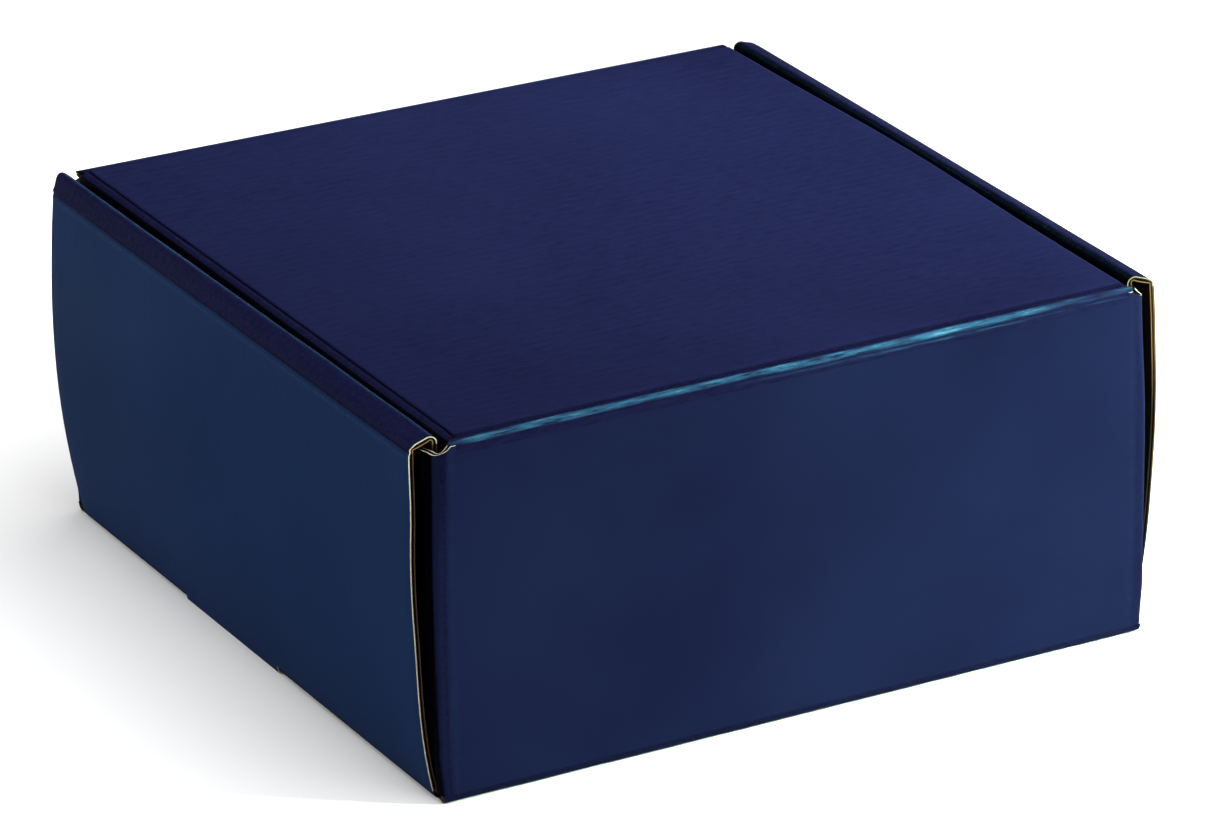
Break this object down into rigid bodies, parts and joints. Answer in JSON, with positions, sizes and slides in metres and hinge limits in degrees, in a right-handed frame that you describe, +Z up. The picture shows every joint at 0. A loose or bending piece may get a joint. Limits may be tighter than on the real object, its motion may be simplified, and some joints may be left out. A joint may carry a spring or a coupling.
{
  "type": "mailer carton",
  "caption": "Square corrugated mailer carton with rolled side walls, hinged lid with side flaps and a tuck front.",
  "frame": {"origin": "centre of the closed carton's footprint, on the underside of its base", "axes": "+Z up, +Y from the hinge wall to the tuck front, +X to the right when facing the hinge wall from outside"},
  "size_m": [0.2142, 0.2066, 0.0976],
  "materials": {
    "printed_board": "satin navy print",
    "kraft_board": "matt kraft liner",
    "worn_crease": "satin print, cracked and worn pale along the fold"
  },
  "bodies": {
    "tray": {"base_panel": "printed_board", "rear_wall": "printed_board", "front_wall": "printed_board", "rear_corner_crease_left": "printed_board", "rear_corner_crease_right": "printed_board", "front_corner_crease_left": "printed_board", "front_corner_crease_right": "printed_board", "rear_dust_flap_left": "kraft_board", "rear_dust_flap_right": "kraft_board", "front_dust_flap_left": "kraft_board", "front_dust_flap_right": "kraft_board", "side_outer_wall_left": "printed_board", "side_outer_wall_right": "printed_board", "side_roll_left": "printed_board", "side_roll_right": "printed_board", "side_inner_wall_left": "printed_board", "side_inner_wall_right": "printed_board", "lock_tab_left": "printed_board", "lock_tab_right": "printed_board", "lid_hinge_crease": "worn_crease"},
    "lid": {"lid_panel": "printed_board", "lid_side_crease_left": "printed_board", "lid_side_crease_right": "printed_board", "tuck_crease": "printed_board"},
    "lid_flap_left": {"lid_side_flap_left": "printed_board"},
    "lid_flap_right": {"lid_side_flap_right": "printed_board"},
    "tuck": {"tuck_flap": "printed_board"}
  },
  "joints": [
    {"name": "lid_hinge", "type": "hinge", "parent": "tray", "child": "lid", "pos_m": [0, -0.1025, 0.0942], "axis": [1, 0, 0], "range_deg": [0, 178]},
    {"name": "lid_flap_left_fold", "type": "hinge", "parent": "lid", "child": "lid_flap_left", "pos_m": [-0.0944, 0, 0.0934], "axis": [0, -1, 0], "range_deg": [0, 85]},
    {"name": "lid_flap_right_fold", "type": "hinge", "parent": "lid", "child": "lid_flap_right", "pos_m": [0.0944, 0, 0.0934], "axis": [0, 1, 0], "range_deg": [0, 85]},
    {"name": "tuck_fold", "type": "hinge", "parent": "lid", "child": "tuck", "pos_m": [0, 0.0997, 0.0934], "axis": [-1, 0, 0], "range_deg": [0, 60]}
  ]
}
